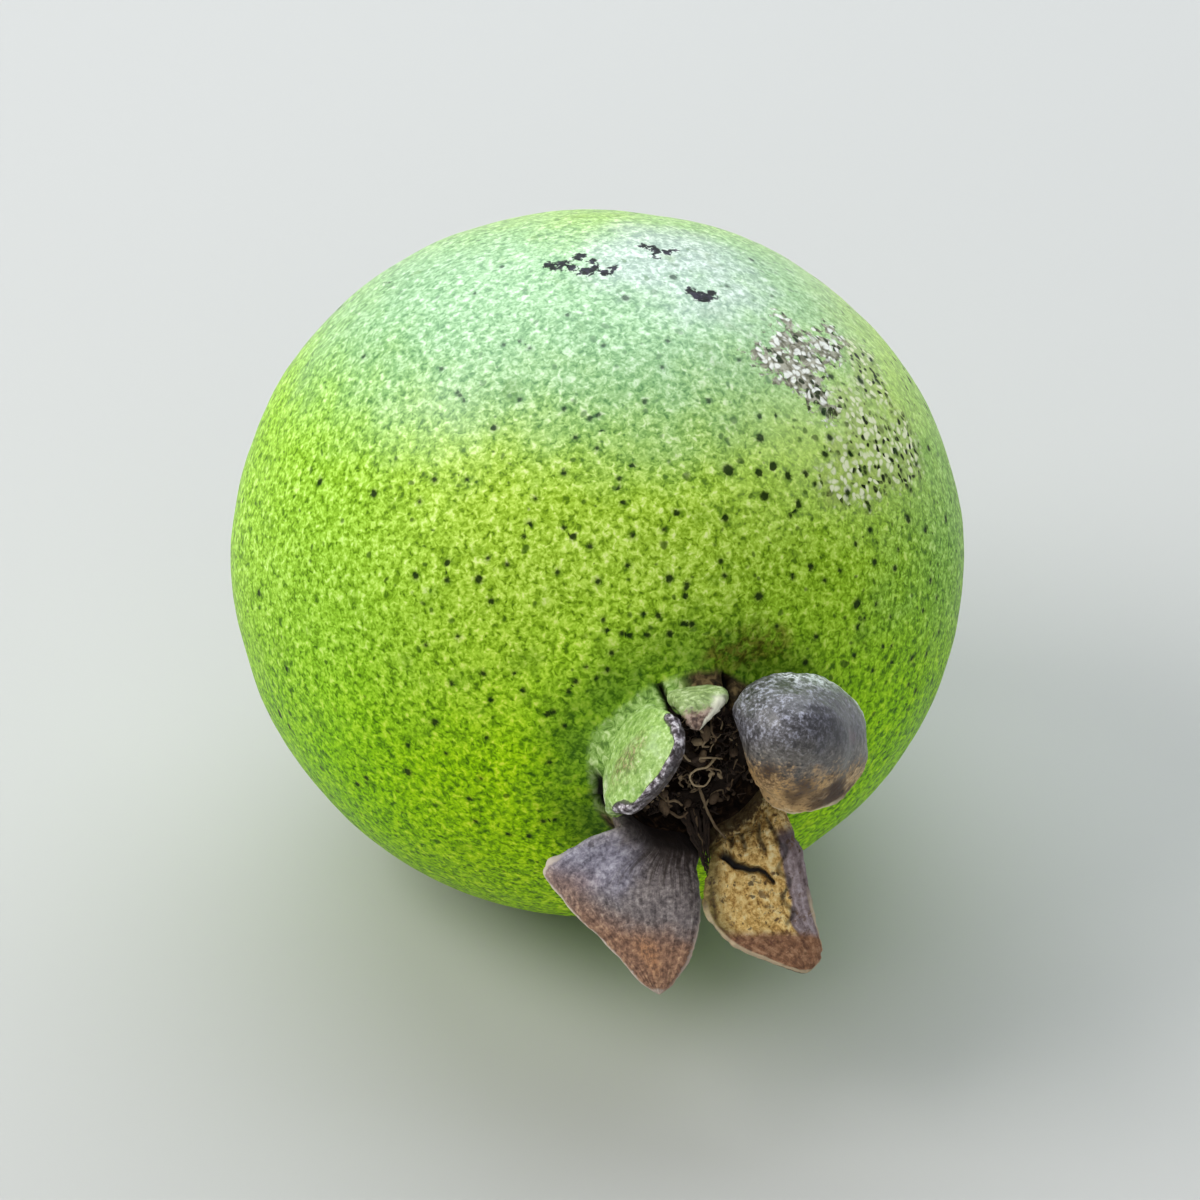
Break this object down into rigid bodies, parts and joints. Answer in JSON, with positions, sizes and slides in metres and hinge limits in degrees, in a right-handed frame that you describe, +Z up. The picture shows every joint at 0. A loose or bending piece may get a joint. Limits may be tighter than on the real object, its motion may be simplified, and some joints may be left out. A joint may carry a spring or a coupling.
{
  "type": "guava fruit with dried calyx",
  "caption": "Whole round guava as picked, lying on a small flat spot, with an open calyx cup of curled sepals at one end and a short cut stalk at the other.",
  "frame": {"origin": "centre of the small flat spot that the fruit rests on", "axes": "+Z up, away from the resting surface; the calyx points along -Y and the stalk along +Y"},
  "size_m": [0.0608, 0.0863, 0.0585],
  "materials": {
    "guava_skin": "yellow-green skin, finely mottled with paler flecks and darker green dots, a few dark scars and one grey scurf patch, satin with a waxy sheen",
    "green_sepal": "pale grey-green outer face, finely speckled, with a dark grey-brown dried margin",
    "weathered_sepal": "dried grey-violet to reddish brown, fine lengthwise veins, thin pale margin",
    "tan_sepal": "dried yellow-tan with dark freckles, one dark crack, purple-grey band and reddish-brown tip",
    "dry_fibre": "matt dark brown withered fibre",
    "stalk_bark": "green-brown bark with small corky spots and a pale cut end"
  },
  "bodies": {
    "root": {"fruit": "guava_skin", "sepal_upright": "green_sepal", "sepal_stub": "green_sepal", "sepal_domed": "weathered_sepal", "sepal_split": "tan_sepal", "sepal_pointed": "weathered_sepal", "dried_stamens": "dry_fibre", "style_stub": "dry_fibre", "stalk": "stalk_bark"}
  },
  "joints": []
}
